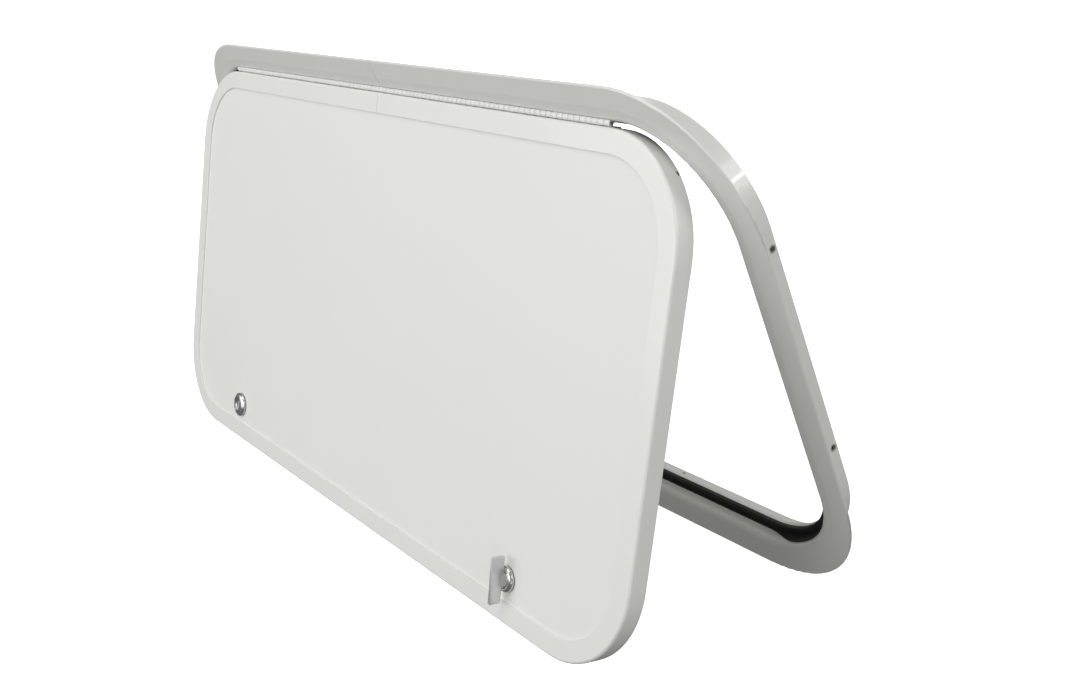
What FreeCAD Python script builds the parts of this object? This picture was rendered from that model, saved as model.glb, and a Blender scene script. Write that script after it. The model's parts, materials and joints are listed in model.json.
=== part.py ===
import FreeCAD, Part
import math
import os

# Top-hung access door with rounded corners, in its wall frame, standing open.
# Millimetres. X runs along the width, +Y points into the wall and +Z up.
# The origin is the middle of the frame on the wall plane, which is the flange's back face.
# "Depth" is measured from the flange's front face, and "inset" from the flange's outer edge.
# The door is modelled shut and then swung out about its hinge to the rest position.

# ---- frame: one bent aluminium extrusion, butt-joined at the top ----
FRAME_WIDTH = 813.0
FRAME_HEIGHT = 431.0
FRAME_CORNER = 108.0
FLANGE_THICKNESS = 1.6
EXTRUSION_WALL = 1.6
LEG_OUTSIDE = 22.0         # inset of the leg's outer face, which stands in the wall cut-out
LEG_DEPTH = 28.0
REVEAL = 28.0              # inset of the face that the shut door's edge looks at
NOSE_DEPTH = 8.0           # the solid front of the box between the leg and the reveal
NOSE_RADIUS = 5.6          # rounded inner front edge
SLOPE_START = 16.0         # from here inwards the flange's face falls away to the rounded edge
SLOPE_ANGLE = 7.0
FLANGE_EDGE_RADIUS = 1.4
LEDGE_FRONT = 16.2         # depth of the ledge that carries the seal
LEDGE_BACK = 20.0
LEDGE_INSIDE = 35.0
SEAM_X = -8.0              # butt joint of frame and door edging, near the middle of the top
SEAM_GAP = 0.3
EDGE_BREAK = 0.8

# ---- mounting screw holes through the leg ----
SCREW_HOLE_RADIUS = 2.0
SCREW_HOLE_DEPTH = 24.0
SIDE_HOLE_Z = (93.0, -77.0)
LONG_HOLE_X = (-180.0, 180.0)

# ---- seal: a soft L section in the corner of reveal and ledge ----
SEAL_SKIRT = 0.9
SEAL_SKIRT_START = 10.5
SEAL_PAD_START = 12.6
SEAL_CORNER_START = 4.5    # the skirt stands further forward where it is bent round a corner
SEAL_CORNER_MARGIN = 10.0

# ---- door leaf ----
DOOR_INSET = 30.2          # inset of the door's outer edge
DOOR_CORNER = 76.0
DOOR_PROUD = 3.1           # the shut door stands this far in front of the flange
DOOR_THICKNESS = 15.4
EDGING_WALL = 1.5
EDGING_FRONT_LIP = 17.0
EDGING_BACK_LIP = 12.0
EDGING_FRONT_RADIUS = 2.4
EDGING_BACK_RADIUS = 1.0
SKIN_THICKNESS = 0.8
EDGING_SCREW_INSET = 2.7   # from the door's back face
EDGING_SCREW_ANGLE = 45.0  # round the corner from level
EDGING_SCREW_HEAD = 1.7
EDGING_SCREW_SHANK = 1.1
EDGING_SCREW_PROUD = 0.25
OPEN_ANGLE = 33.6          # rest position, measured from shut

# ---- piano hinge ----
HINGE_DEPTH = 1.3
HINGE_INSET = 27.4
HINGE_START_X = -305.0
KNUCKLE_PITCH = 6.38
KNUCKLE_COUNT = 94
KNUCKLE_RADIUS = 2.3
KNUCKLE_GAP = 0.16
PIN_RADIUS = 1.2
PIN_CLEARANCE = 0.05
PIN_END = 0.2              # the pin stops this far inside the end knuckles
HINGE_SHEET = 0.9
HINGE_SHEET_START = 3.9
FRAME_SHEET_END = 10.2
DOOR_SHEET_END = 10.2
HINGE_POCKET_INSET = 24.6
HINGE_POCKET_DEPTH = 4.2
HINGE_END_GAP = 0.4
HINGE_RIVET_COUNT = 9
HINGE_RIVET_HEAD = 1.9
HINGE_RIVET_SHANK = 1.2

# ---- joiners behind the two butt joints ----
JOINER_LENGTH = 60.0
JOINER_THICKNESS = 1.6
JOINER_RIVET_X = (10.0, 24.0)
JOINER_FRONT = 10.0         # the frame's joiner lies in the hollow behind the leg
JOINER_BACK = 25.0
JOINER_RIVET_DEPTH = 20.0
JOINER_RIVET_HEAD = 3.0
JOINER_RIVET_HEAD_TOP = 2.0
JOINER_RIVET_RISE = 0.8
JOINER_RIVET_SHANK = 1.6

# ---- cam locks: a keyed one on the left, a thumb turn on the right ----
KEY_LOCK_X = -240.0
THUMB_LOCK_X = 242.8
LOCK_Z = -150.5
KEY_HEAD_RADIUS = 12.2
LATCH_HEAD_RADIUS = 10.3
HEAD_RISE = 3.6
HEAD_ROUNDING = 2.6
HEAD_RECESS_RADIUS = 7.2
HEAD_RECESS = 1.2
GASKET_THICKNESS = 0.6
GASKET_INSET = 0.3
BARREL_RADIUS = 8.0
BARREL_END = 17.8
PLUG_RADIUS = 6.0
PLUG_CLEARANCE = 0.05
NUT_ACROSS_FLATS = 21.0
NUT_THICKNESS = 3.8
WASHER_RADIUS = 12.5
WASHER_THICKNESS = 0.8
CAM_FRONT = 20.4
CAM_THICKNESS = 2.5
CAM_REACH = 35.8
CAM_HALF_WIDTH = 6.5
SQUARE_SIZE = 7.0
FIN_HEIGHT = 37.2
FIN_THICKNESS = 2.0
FIN_START = 3.2            # distance of the fin's inner edge in front of the door face
FIN_TOP_END = 14.4
FIN_BOTTOM_END = 12.8
FIN_ROUNDING = 0.4
TANG_END = 2.0              # the fin's root runs this deep into the spindle
TANG_HALF = 5.4
KEYWAY_WIDTH = 1.4
KEYWAY_HALF = 3.6
KEYWAY_END = 11.8
TUMBLER_COUNT = 5
TUMBLER_START = 0.5
TUMBLER_PITCH = 2.2
TUMBLER_THICKNESS = 0.9
TUMBLER_WIDTH = 5.2
TUMBLER_HALF = 5.0
TUMBLER_SLOT = 1.8
TUMBLER_STEP = 0.4         # the windows sit higher or lower by this, as the key's bitting needs
CAM_SCREW_RADIUS = 1.8
CAM_SCREW_END = 13.8
CAM_SCREW_HEAD = 4.0
CAM_SCREW_RISE = 2.2
CAM_SCREW_ROUNDING = 0.9
CROSS_HALF_LENGTH = 2.2
CROSS_HALF_WIDTH = 0.5
CROSS_FLOOR = 1.2
CAM_WASHER_RADIUS = 6.2

LEG_INSIDE = LEG_OUTSIDE + EXTRUSION_WALL
DOOR_FRONT = -DOOR_PROUD
DOOR_BACK = DOOR_FRONT + DOOR_THICKNESS
SKIN_FRONT = DOOR_FRONT + EDGING_WALL
CORE_FRONT = SKIN_FRONT + SKIN_THICKNESS
PANEL_BACK = DOOR_BACK - EDGING_WALL
CORE_BACK = PANEL_BACK - SKIN_THICKNESS
HEAD_BASE = SKIN_FRONT - GASKET_THICKNESS
PLUG_FRONT = HEAD_BASE - HEAD_RISE + HEAD_RECESS - 0.4
DOOR_WIDTH = FRAME_WIDTH - 2 * DOOR_INSET
DOOR_HEIGHT = FRAME_HEIGHT - 2 * DOOR_INSET
HINGE_Z = FRAME_HEIGHT / 2 - HINGE_INSET
HINGE_END_X = HINGE_START_X + KNUCKLE_COUNT * KNUCKLE_PITCH
HINGE_Y = HINGE_DEPTH - FLANGE_THICKNESS
X_AXIS = FreeCAD.Vector(1, 0, 0)
Y_AXIS = FreeCAD.Vector(0, 1, 0)
Z_AXIS = FreeCAD.Vector(0, 0, 1)


def row_y(depth):
    """Row coordinate of a depth behind the flange's front face."""
    return depth - FLANGE_THICKNESS


def rounded_slab(width, height, corner, depth0, depth1):
    """A plate with rounded corners, centred on the Y axis, between two depths."""
    half_w = width / 2
    half_h = height / 2
    y = row_y(depth0)
    edges = []
    for quarter in range(4):
        sx = (1, -1, -1, 1)[quarter]
        sz = (1, 1, -1, -1)[quarter]
        centre = FreeCAD.Vector(sx * (half_w - corner), y, sz * (half_h - corner))
        points = []
        for step in (0, 45, 90):
            angle = math.radians(90 * quarter + step)
            reach = FreeCAD.Vector(math.cos(angle), 0, math.sin(angle)) * corner
            points.append(centre + reach)
        if edges:
            edges.append(Part.makeLine(edges[-1].Vertexes[-1].Point, points[0]))
        edges.append(Part.Arc(*points).toShape())
    edges.append(Part.makeLine(edges[-1].Vertexes[-1].Point, edges[0].Vertexes[0].Point))
    face = Part.Face(Part.Wire(edges))
    return face.extrude(FreeCAD.Vector(0, depth1 - depth0, 0))


def frame_slab(inset, depth0, depth1):
    return rounded_slab(FRAME_WIDTH - 2 * inset, FRAME_HEIGHT - 2 * inset, FRAME_CORNER - inset, depth0, depth1)


def frame_ring(outside, inside, depth0, depth1):
    return frame_slab(outside, depth0, depth1).cut(frame_slab(inside, depth0, depth1))


def door_slab(inset, depth0, depth1):
    """A plate that follows the door's outline, this far inside its edge."""
    return rounded_slab(DOOR_WIDTH - 2 * inset, DOOR_HEIGHT - 2 * inset, DOOR_CORNER - inset, depth0, depth1)


def outline_inset(point, width, height, corner):
    """How far a point lies inside a rounded rectangle of this size."""
    qx = abs(point.x) - (width / 2 - corner)
    qz = abs(point.z) - (height / 2 - corner)
    outside = math.hypot(max(qx, 0), max(qz, 0)) + min(max(qx, qz), 0)
    return corner - outside


def ring_edges(shape, depth, inset, width, height, corner):
    """The edges that run round the outline at this depth and inset."""
    y = row_y(depth)
    chosen = []
    for edge in shape.Edges:
        middle = edge.valueAt((edge.FirstParameter + edge.LastParameter) / 2)
        bounds = edge.BoundBox
        flat = abs(bounds.YMin - y) < 0.01 and abs(bounds.YMax - y) < 0.01
        if flat and abs(outline_inset(middle, width, height, corner) - inset) < 0.05:
            chosen.append(edge)
    return chosen


def round_edges(shape, radius, depth, inset, width, height, corner):
    return shape.makeFillet(radius, ring_edges(shape, depth, inset, width, height, corner))


def box(x0, x1, depth0, depth1, z0, z1):
    corner = FreeCAD.Vector(x0, row_y(depth0), z0)
    return Part.makeBox(x1 - x0, depth1 - depth0, z1 - z0, corner)


def rod_y(x, z, radius, depth0, depth1):
    return Part.makeCylinder(radius, depth1 - depth0, FreeCAD.Vector(x, row_y(depth0), z), Y_AXIS)


def rod_x(x0, x1, depth, z, radius):
    return Part.makeCylinder(radius, x1 - x0, FreeCAD.Vector(x0, row_y(depth), z), X_AXIS)


def rod_z(x, depth, z0, z1, radius):
    return Part.makeCylinder(radius, z1 - z0, FreeCAD.Vector(x, row_y(depth), z0), Z_AXIS)


def cone_z(x, depth, z0, z1, radius0, radius1):
    return Part.makeCone(radius0, radius1, z1 - z0, FreeCAD.Vector(x, row_y(depth), z0), Z_AXIS)


def fused(first, *others):
    return first.fuse(list(others)).removeSplitter()


def seam_cut(shape):
    """Opens the butt joint at the top of a ring."""
    half = SEAM_GAP / 2
    return shape.cut(box(SEAM_X - half, SEAM_X + half, -50, 50, 0, FRAME_HEIGHT))


# ---------------------------------------------------------------- frame

def screw_holes():
    """Every mounting hole's drill, through both walls of the box."""
    drills = []
    for side in (-1, 1):
        near = side * (FRAME_WIDTH / 2 - LEG_OUTSIDE + 1)
        far = side * (FRAME_WIDTH / 2 - REVEAL - 1)
        for z in SIDE_HOLE_Z:
            drills.append(rod_x(min(near, far), max(near, far), SCREW_HOLE_DEPTH, z, SCREW_HOLE_RADIUS))
        near = side * (FRAME_HEIGHT / 2 - LEG_OUTSIDE + 1)
        far = side * (FRAME_HEIGHT / 2 - REVEAL - 1)
        for x in LONG_HOLE_X:
            drills.append(rod_z(x, SCREW_HOLE_DEPTH, min(near, far), max(near, far), SCREW_HOLE_RADIUS))
    return drills


def make_frame():
    """Flange and ledge on a narrow hollow box, whose outer wall is the leg."""
    flange = frame_ring(0, REVEAL, 0, FLANGE_THICKNESS)
    nose = frame_ring(LEG_OUTSIDE, REVEAL, 0, NOSE_DEPTH)
    leg = frame_ring(LEG_OUTSIDE, LEG_INSIDE, 0, LEG_DEPTH)
    reveal = frame_ring(REVEAL - EXTRUSION_WALL, REVEAL, 0, LEG_DEPTH)
    web = frame_ring(LEG_OUTSIDE, REVEAL, LEG_DEPTH - EXTRUSION_WALL, LEG_DEPTH)
    ledge = frame_ring(REVEAL - EXTRUSION_WALL, LEDGE_INSIDE, LEDGE_FRONT, LEDGE_BACK)
    shape = fused(flange, nose, leg, reveal, web, ledge)
    outline = (FRAME_WIDTH, FRAME_HEIGHT, FRAME_CORNER)
    slope_width = REVEAL - SLOPE_START
    slope_depth = slope_width * math.tan(math.radians(SLOPE_ANGLE))
    shape = shape.makeChamfer(slope_width, slope_depth, ring_edges(shape, 0, REVEAL, *outline))
    shape = round_edges(shape, NOSE_RADIUS, slope_depth, REVEAL, *outline)
    shape = round_edges(shape, FLANGE_EDGE_RADIUS, 0, 0, *outline)
    shape = round_edges(shape, EDGE_BREAK, LEDGE_BACK, LEDGE_INSIDE, *outline)
    pocket_z = FRAME_HEIGHT / 2 - HINGE_POCKET_INSET
    x0 = HINGE_START_X - HINGE_END_GAP
    x1 = HINGE_END_X + HINGE_END_GAP
    pocket = box(x0, x1, -5, HINGE_POCKET_DEPTH, pocket_z - 6, pocket_z)
    seat_z = FRAME_HEIGHT / 2 - REVEAL
    seat = box(x0, x1, HINGE_POCKET_DEPTH - 1, FRAME_SHEET_END + HINGE_END_GAP, seat_z - 5, seat_z)
    return seam_cut(shape.cut([pocket, seat] + screw_holes()))


def make_seal():
    skirt = frame_ring(REVEAL, REVEAL + SEAL_SKIRT, SEAL_SKIRT_START, LEDGE_FRONT)
    pad = frame_ring(REVEAL, LEDGE_INSIDE, SEAL_PAD_START, LEDGE_FRONT)
    flare = frame_ring(REVEAL, REVEAL + SEAL_SKIRT, SEAL_CORNER_START, SEAL_SKIRT_START)
    half_w = FRAME_WIDTH / 2
    half_h = FRAME_HEIGHT / 2
    straight_w = half_w - FRAME_CORNER + SEAL_CORNER_MARGIN
    straight_h = half_h - FRAME_CORNER + SEAL_CORNER_MARGIN
    across = box(-straight_w, straight_w, 0, LEDGE_FRONT, -half_h, half_h)
    upright = box(-half_w, half_w, 0, LEDGE_FRONT, -straight_h, straight_h)
    return fused(skirt, pad, flare.cut([across, upright]))


def make_frame_joiner():
    top = FRAME_HEIGHT / 2 - LEG_INSIDE
    x0 = SEAM_X - JOINER_LENGTH / 2
    return box(x0, x0 + JOINER_LENGTH, JOINER_FRONT, JOINER_BACK, top - JOINER_THICKNESS, top)


def make_joiner_rivets():
    """Low-headed rivets through the leg and the frame joiner, two each side of the butt joint."""
    top = FRAME_HEIGHT / 2 - LEG_OUTSIDE
    bottom = FRAME_HEIGHT / 2 - LEG_INSIDE - JOINER_THICKNESS
    tail_end = bottom - JOINER_RIVET_RISE
    depth = JOINER_RIVET_DEPTH
    rivets = []
    for side in (-1, 1):
        for offset in JOINER_RIVET_X:
            x = SEAM_X + side * offset
            head = cone_z(x, depth, top, top + JOINER_RIVET_RISE, JOINER_RIVET_HEAD, JOINER_RIVET_HEAD_TOP)
            shank = rod_z(x, depth, bottom, top, JOINER_RIVET_SHANK)
            tail = cone_z(x, depth, tail_end, bottom, JOINER_RIVET_HEAD_TOP, JOINER_RIVET_HEAD)
            rivets.append(fused(head, shank, tail))
    return rivets


# ---------------------------------------------------------------- hinge

def knuckles(first, sheet_top):
    """Every second knuckle from this one, each with the web that joins it to its sheet."""
    shapes = []
    for index in range(first, KNUCKLE_COUNT, 2):
        x0 = HINGE_START_X + index * KNUCKLE_PITCH + KNUCKLE_GAP / 2
        x1 = x0 + KNUCKLE_PITCH - KNUCKLE_GAP
        barrel = rod_x(x0, x1, HINGE_DEPTH, HINGE_Z, KNUCKLE_RADIUS)
        web = box(x0, x1, HINGE_DEPTH, HINGE_SHEET_START + 0.5, sheet_top - HINGE_SHEET, sheet_top)
        shapes.append(barrel.fuse(web))
    return shapes


def make_hinge_half(first, sheet_top, sheet_end, rivets):
    sheet = box(HINGE_START_X, HINGE_END_X, HINGE_SHEET_START, sheet_end, sheet_top - HINGE_SHEET, sheet_top)
    bore = rod_x(HINGE_START_X - 1, HINGE_END_X + 1, HINGE_DEPTH, HINGE_Z, PIN_RADIUS + PIN_CLEARANCE)
    return fused(sheet, *knuckles(first, sheet_top)).cut([bore] + rivets)


def hinge_rivet_positions():
    first = HINGE_START_X + 30
    last = HINGE_END_X - 30
    step = (last - first) / (HINGE_RIVET_COUNT - 1)
    return [first + step * index for index in range(HINGE_RIVET_COUNT)]


def make_frame_hinge_rivets(sheet_top):
    """Flush rivets, heads down, through the frame's hinge sheet into the nose."""
    depth = (HINGE_SHEET_START + NOSE_DEPTH) / 2
    rivets = []
    for x in hinge_rivet_positions():
        head = cone_z(x, depth, sheet_top - HINGE_SHEET, sheet_top, HINGE_RIVET_HEAD, HINGE_RIVET_SHANK)
        shank = rod_z(x, depth, sheet_top, sheet_top + 5, HINGE_RIVET_SHANK)
        rivets.append(fused(head, shank))
    return rivets


def make_door_hinge_rivets(sheet_top):
    """Flush rivets, heads up, through the door's hinge sheet and the edging."""
    depth = (HINGE_SHEET_START + DOOR_SHEET_END) / 2
    base = sheet_top - HINGE_SHEET
    rivets = []
    for x in hinge_rivet_positions():
        head = cone_z(x, depth, base, sheet_top, HINGE_RIVET_SHANK, HINGE_RIVET_HEAD)
        shank = rod_z(x, depth, base - EDGING_WALL - 2.5, base, HINGE_RIVET_SHANK)
        tail = rod_z(x, depth, base - EDGING_WALL - 2.5, base - EDGING_WALL, HINGE_RIVET_HEAD)
        rivets.append(fused(head, shank, tail))
    return rivets


def make_hinge_pin():
    return rod_x(HINGE_START_X + PIN_END, HINGE_END_X - PIN_END, HINGE_DEPTH, HINGE_Z, PIN_RADIUS)


# ---------------------------------------------------------------- door leaf

def make_edging():
    """The channel round the door: an outer web, a wide front lip and a narrow back lip."""
    body = door_slab(0, DOOR_FRONT, DOOR_BACK)
    hollow = door_slab(EDGING_WALL, SKIN_FRONT, PANEL_BACK)
    front_window = door_slab(EDGING_FRONT_LIP, DOOR_FRONT, SKIN_FRONT)
    back_window = door_slab(EDGING_BACK_LIP, PANEL_BACK, DOOR_BACK)
    shape = body.cut([hollow, front_window, back_window])
    outline = (DOOR_WIDTH, DOOR_HEIGHT, DOOR_CORNER)
    shape = round_edges(shape, EDGING_FRONT_RADIUS, DOOR_FRONT, 0, *outline)
    shape = round_edges(shape, EDGING_BACK_RADIUS, DOOR_BACK, 0, *outline)
    shape = round_edges(shape, 0.5, DOOR_FRONT, EDGING_FRONT_LIP, *outline)
    return seam_cut(shape)


def make_edging_joiner():
    top = DOOR_HEIGHT / 2 - EDGING_WALL
    x0 = SEAM_X - JOINER_LENGTH / 2
    return box(x0, x0 + JOINER_LENGTH, CORE_FRONT + 0.2, CORE_BACK - 0.2, top - JOINER_THICKNESS, top)


def edging_screw_places():
    """Where the two corner screws enter the web, and the direction they point."""
    angle = math.radians(EDGING_SCREW_ANGLE)
    x = DOOR_WIDTH / 2 - DOOR_CORNER + DOOR_CORNER * math.cos(angle)
    z = DOOR_HEIGHT / 2 - DOOR_CORNER + DOOR_CORNER * math.sin(angle)
    return [(side * x, z, FreeCAD.Vector(-side * math.cos(angle), 0, -math.sin(angle))) for side in (-1, 1)]


def make_edging_screws():
    screws = []
    for x, z, inward in edging_screw_places():
        start = FreeCAD.Vector(x, row_y(DOOR_BACK - EDGING_SCREW_INSET), z)
        outside = start - inward * EDGING_SCREW_PROUD
        head = Part.makeCone(EDGING_SCREW_HEAD, EDGING_SCREW_SHANK, 1.2, outside, inward)
        shank = Part.makeCylinder(EDGING_SCREW_SHANK, 9, start, inward)
        screws.append(fused(head, shank))
    return screws


def lock_holes(radius, depth0, depth1):
    return [rod_y(x, LOCK_Z, radius, depth0, depth1) for x in (KEY_LOCK_X, THUMB_LOCK_X)]


def make_panel_layer(depth0, depth1, cutters):
    """One layer of the sandwich panel, filling the edging from web to web."""
    layer = door_slab(EDGING_WALL, depth0, depth1)
    return layer.cut(lock_holes(BARREL_RADIUS, depth0 - 1, depth1 + 1) + cutters)


# ---------------------------------------------------------------- locks

def make_lock_housing(x, head_radius):
    """Domed head with a shallow recess, and a barrel bored for the turning plug."""
    front = HEAD_BASE - HEAD_RISE
    head = rod_y(x, LOCK_Z, head_radius, front, HEAD_BASE)
    rim = []
    for edge in head.Edges:
        if abs(edge.BoundBox.YMax - row_y(front)) < 0.01 and edge.Length > head_radius:
            rim.append(edge)
    head = head.makeFillet(HEAD_ROUNDING, rim)
    recess = rod_y(x, LOCK_Z, HEAD_RECESS_RADIUS, front - 1, front + HEAD_RECESS)
    barrel = rod_y(x, LOCK_Z, BARREL_RADIUS, HEAD_BASE, BARREL_END)
    bore = rod_y(x, LOCK_Z, PLUG_RADIUS + PLUG_CLEARANCE, front - 1, BARREL_END + 1)
    return fused(head, barrel).cut([recess, bore])


def make_gasket(x, head_radius):
    outer = rod_y(x, LOCK_Z, head_radius - GASKET_INSET, HEAD_BASE, SKIN_FRONT)
    return outer.cut(rod_y(x, LOCK_Z, BARREL_RADIUS, SKIN_FRONT - 2, SKIN_FRONT + 1))


def make_washer(x):
    outer = rod_y(x, LOCK_Z, WASHER_RADIUS, PANEL_BACK, PANEL_BACK + WASHER_THICKNESS)
    return outer.cut(rod_y(x, LOCK_Z, BARREL_RADIUS, PANEL_BACK - 1, PANEL_BACK + 3))


def make_nut(x):
    front = PANEL_BACK + WASHER_THICKNESS
    corner = NUT_ACROSS_FLATS / math.sqrt(3)
    points = []
    for step in range(7):
        angle = math.radians(60 * step + 30)
        across = corner * math.cos(angle)
        points.append(FreeCAD.Vector(x + across, row_y(front), LOCK_Z + corner * math.sin(angle)))
    face = Part.Face(Part.makePolygon(points))
    hexagon = face.extrude(FreeCAD.Vector(0, NUT_THICKNESS, 0))
    return hexagon.cut(rod_y(x, LOCK_Z, BARREL_RADIUS, front - 1, front + NUT_THICKNESS + 1))


def square_shank(x):
    half = SQUARE_SIZE / 2
    return box(x - half, x + half, BARREL_END, CAM_FRONT + CAM_THICKNESS, LOCK_Z - half, LOCK_Z + half)


def screw_hole_in_shank(x):
    return rod_y(x, LOCK_Z, CAM_SCREW_RADIUS, CAM_SCREW_END, CAM_FRONT + CAM_THICKNESS + 1)


def upright_bar(x, half_width, depth0, depth1, z0, z1):
    """A bar centred on a lock's upright line, between two heights measured from the lock's axis."""
    return box(x - half_width, x + half_width, depth0, depth1, LOCK_Z + z0, LOCK_Z + z1)


def make_key_plug(tumblers):
    plug = rod_y(KEY_LOCK_X, LOCK_Z, PLUG_RADIUS, PLUG_FRONT, BARREL_END)
    keyway = upright_bar(KEY_LOCK_X, KEYWAY_WIDTH / 2, PLUG_FRONT - 1, KEYWAY_END, -KEYWAY_HALF, KEYWAY_HALF)
    shape = fused(plug, square_shank(KEY_LOCK_X))
    return shape.cut([keyway, screw_hole_in_shank(KEY_LOCK_X)] + tumblers)


def make_tumblers():
    """Flat wafers across the plug, each with a window for the key."""
    wafers = []
    for index in range(TUMBLER_COUNT):
        depth = TUMBLER_START + TUMBLER_PITCH * index
        back = depth + TUMBLER_THICKNESS
        wafer = upright_bar(KEY_LOCK_X, TUMBLER_WIDTH / 2, depth, back, -TUMBLER_HALF, TUMBLER_HALF)
        shift = TUMBLER_STEP * (index % 3 - 1)
        low = shift - KEYWAY_HALF
        high = shift + KEYWAY_HALF - TUMBLER_STEP
        window = upright_bar(KEY_LOCK_X, TUMBLER_SLOT / 2, depth - 1, back + 1, low, high)
        wafers.append(wafer.cut(window))
    return wafers


def make_fin():
    """Flat upright plate, a little narrower at its lower end."""
    x = THUMB_LOCK_X - FIN_THICKNESS / 2
    back = row_y(DOOR_FRONT - FIN_START)
    top = LOCK_Z + FIN_HEIGHT / 2
    bottom = LOCK_Z - FIN_HEIGHT / 2
    top_front = row_y(DOOR_FRONT - FIN_TOP_END)
    bottom_front = row_y(DOOR_FRONT - FIN_BOTTOM_END)
    outline = [(back, bottom), (back, top), (top_front, top), (bottom_front, bottom), (back, bottom)]
    face = Part.Face(Part.makePolygon([FreeCAD.Vector(x, y, z) for y, z in outline]))
    fin = face.extrude(X_AXIS * FIN_THICKNESS)
    return fin.makeFillet(FIN_ROUNDING, [edge for edge in fin.Edges if edge.Length > FIN_THICKNESS + 0.1])


def make_thumb_turn():
    """Spindle with a flat vertical fin standing out from the door."""
    fin_back = DOOR_FRONT - FIN_START
    spindle = rod_y(THUMB_LOCK_X, LOCK_Z, PLUG_RADIUS, PLUG_FRONT, BARREL_END)
    fin = make_fin()
    tang = upright_bar(THUMB_LOCK_X, FIN_THICKNESS / 2, fin_back - 1, TANG_END, -TANG_HALF, TANG_HALF)
    shape = fused(spindle, fin, tang, square_shank(THUMB_LOCK_X))
    return shape.cut(screw_hole_in_shank(THUMB_LOCK_X))


def make_cam(x, towards):
    """Flat cam bar with a square hole; it points sideways, towards the door's middle, when unlatched."""
    depth1 = CAM_FRONT + CAM_THICKNESS
    tip = x + towards * (CAM_REACH - CAM_HALF_WIDTH)
    bar = box(min(x, tip), max(x, tip), CAM_FRONT, depth1, LOCK_Z - CAM_HALF_WIDTH, LOCK_Z + CAM_HALF_WIDTH)
    hub = rod_y(x, LOCK_Z, CAM_HALF_WIDTH + 1.5, CAM_FRONT, depth1)
    nose = rod_y(tip, LOCK_Z, CAM_HALF_WIDTH, CAM_FRONT, depth1)
    half = SQUARE_SIZE / 2
    hole = box(x - half, x + half, CAM_FRONT - 1, depth1 + 1, LOCK_Z - half, LOCK_Z + half)
    return fused(bar, hub, nose).cut(hole)


def make_cam_screw(x):
    """Pan-head screw with a cross recess that holds the cam on its shank."""
    seat = CAM_FRONT + CAM_THICKNESS + WASHER_THICKNESS
    top = seat + CAM_SCREW_RISE
    head = rod_y(x, LOCK_Z, CAM_SCREW_HEAD, seat, top)
    shank = rod_y(x, LOCK_Z, CAM_SCREW_RADIUS, CAM_SCREW_END, seat)
    shape = fused(head, shank)
    rim = [edge for edge in shape.Edges if edge.BoundBox.YMin > row_y(top - 0.1) and edge.Length > 20]
    shape = shape.makeFillet(CAM_SCREW_ROUNDING, rim)
    floor = seat + CROSS_FLOOR
    across = upright_bar(x, CROSS_HALF_LENGTH, floor, top + 1, -CROSS_HALF_WIDTH, CROSS_HALF_WIDTH)
    upright = upright_bar(x, CROSS_HALF_WIDTH, floor, top + 1, -CROSS_HALF_LENGTH, CROSS_HALF_LENGTH)
    return shape.cut([across, upright])


def make_cam_washer(x):
    seat = CAM_FRONT + CAM_THICKNESS
    outer = rod_y(x, LOCK_Z, CAM_WASHER_RADIUS, seat, seat + WASHER_THICKNESS)
    return outer.cut(rod_y(x, LOCK_Z, CAM_SCREW_RADIUS, seat - 1, seat + 2))


# ---------------------------------------------------------------- assembly

def frame_parts():
    sheet_top = FRAME_HEIGHT / 2 - REVEAL
    hinge_rivets = make_frame_hinge_rivets(sheet_top)
    joiner_rivets = make_joiner_rivets()
    return {
        "frame": make_frame().cut(hinge_rivets + joiner_rivets),
        "frame_seal": make_seal(),
        "frame_joiner": make_frame_joiner().cut(joiner_rivets),
        "frame_joiner_rivets": Part.makeCompound(joiner_rivets),
        "hinge_frame_sheet": make_hinge_half(0, sheet_top, FRAME_SHEET_END, hinge_rivets),
        "hinge_frame_rivets": Part.makeCompound(hinge_rivets),
        "hinge_pin": make_hinge_pin(),
    }


def door_parts():
    sheet_top = DOOR_HEIGHT / 2 + HINGE_SHEET
    hinge_rivets = make_door_hinge_rivets(sheet_top)
    screws = make_edging_screws()
    joiner = make_edging_joiner()
    tumblers = make_tumblers()
    parts = {
        "door_edging": make_edging().cut(hinge_rivets + screws),
        "door_edging_joiner": joiner.cut(hinge_rivets),
        "door_edging_screws": Part.makeCompound(screws),
        "door_outer_skin": make_panel_layer(SKIN_FRONT, CORE_FRONT, []),
        "door_core": make_panel_layer(CORE_FRONT, CORE_BACK, hinge_rivets + screws + [joiner]),
        "door_inner_skin": make_panel_layer(CORE_BACK, PANEL_BACK, screws),
        "hinge_door_sheet": make_hinge_half(1, sheet_top, DOOR_SHEET_END, hinge_rivets),
        "hinge_door_rivets": Part.makeCompound(hinge_rivets),
        "key_lock_plug": make_key_plug(tumblers),
        "key_lock_tumblers": Part.makeCompound(tumblers),
        "thumb_turn": make_thumb_turn(),
    }
    locks = (
        ("key_lock", KEY_LOCK_X, KEY_HEAD_RADIUS, 1),
        ("thumb_latch", THUMB_LOCK_X, LATCH_HEAD_RADIUS, -1),
    )
    for name, x, head_radius, towards in locks:
        parts[name + "_housing"] = make_lock_housing(x, head_radius)
        parts[name + "_gasket"] = make_gasket(x, head_radius)
        parts[name + "_washer"] = make_washer(x)
        parts[name + "_nut"] = make_nut(x)
        parts[name + "_cam"] = make_cam(x, towards)
        parts[name + "_cam_washer"] = make_cam_washer(x)
        parts[name + "_cam_screw"] = make_cam_screw(x)
    hinge_axis = FreeCAD.Vector(0, HINGE_Y, HINGE_Z)
    for shape in parts.values():
        shape.rotate(hinge_axis, X_AXIS, -OPEN_ANGLE)
    return parts


def main():
    os.makedirs("parts", exist_ok=True)
    for name, shape in {**frame_parts(), **door_parts()}.items():
        shape.exportStep("parts/" + name + ".step")
        print(name, "valid", shape.isValid(), "solids", len(shape.Solids), "volume", round(shape.Volume))


main()
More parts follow.
